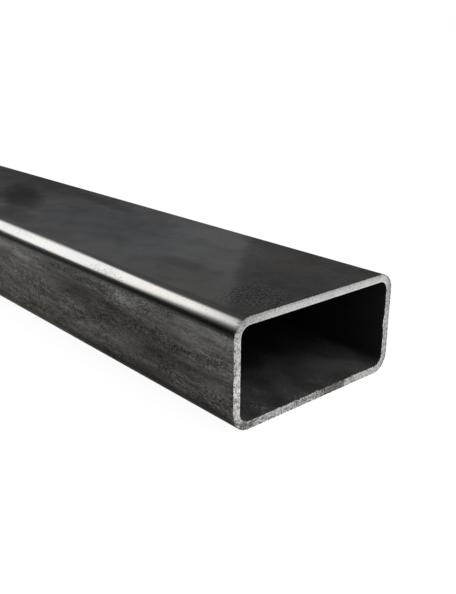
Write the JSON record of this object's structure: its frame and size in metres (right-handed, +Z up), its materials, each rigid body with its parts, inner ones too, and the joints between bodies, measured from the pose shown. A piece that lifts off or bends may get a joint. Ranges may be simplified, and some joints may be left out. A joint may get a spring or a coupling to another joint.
{
  "type": "rectangular steel tube",
  "caption": "Straight length of rectangular hollow steel section with rolled corners, an inner weld bead and two square sawn ends, for frames and supports.",
  "frame": {"origin": "middle of the underside, half way between the two sawn ends", "axes": "+X along the tube, towards the end that the picture shows; +Y across the wide faces, towards the narrow wall with the weld seam; +Z up, across the narrow faces, with the tube lying on a wide face"},
  "size_m": [1, 0.08, 0.04],
  "materials": {
    "mill_scale_steel": "satin"
  },
  "bodies": {
    "root": {"tube": "mill_scale_steel"}
  },
  "joints": []
}
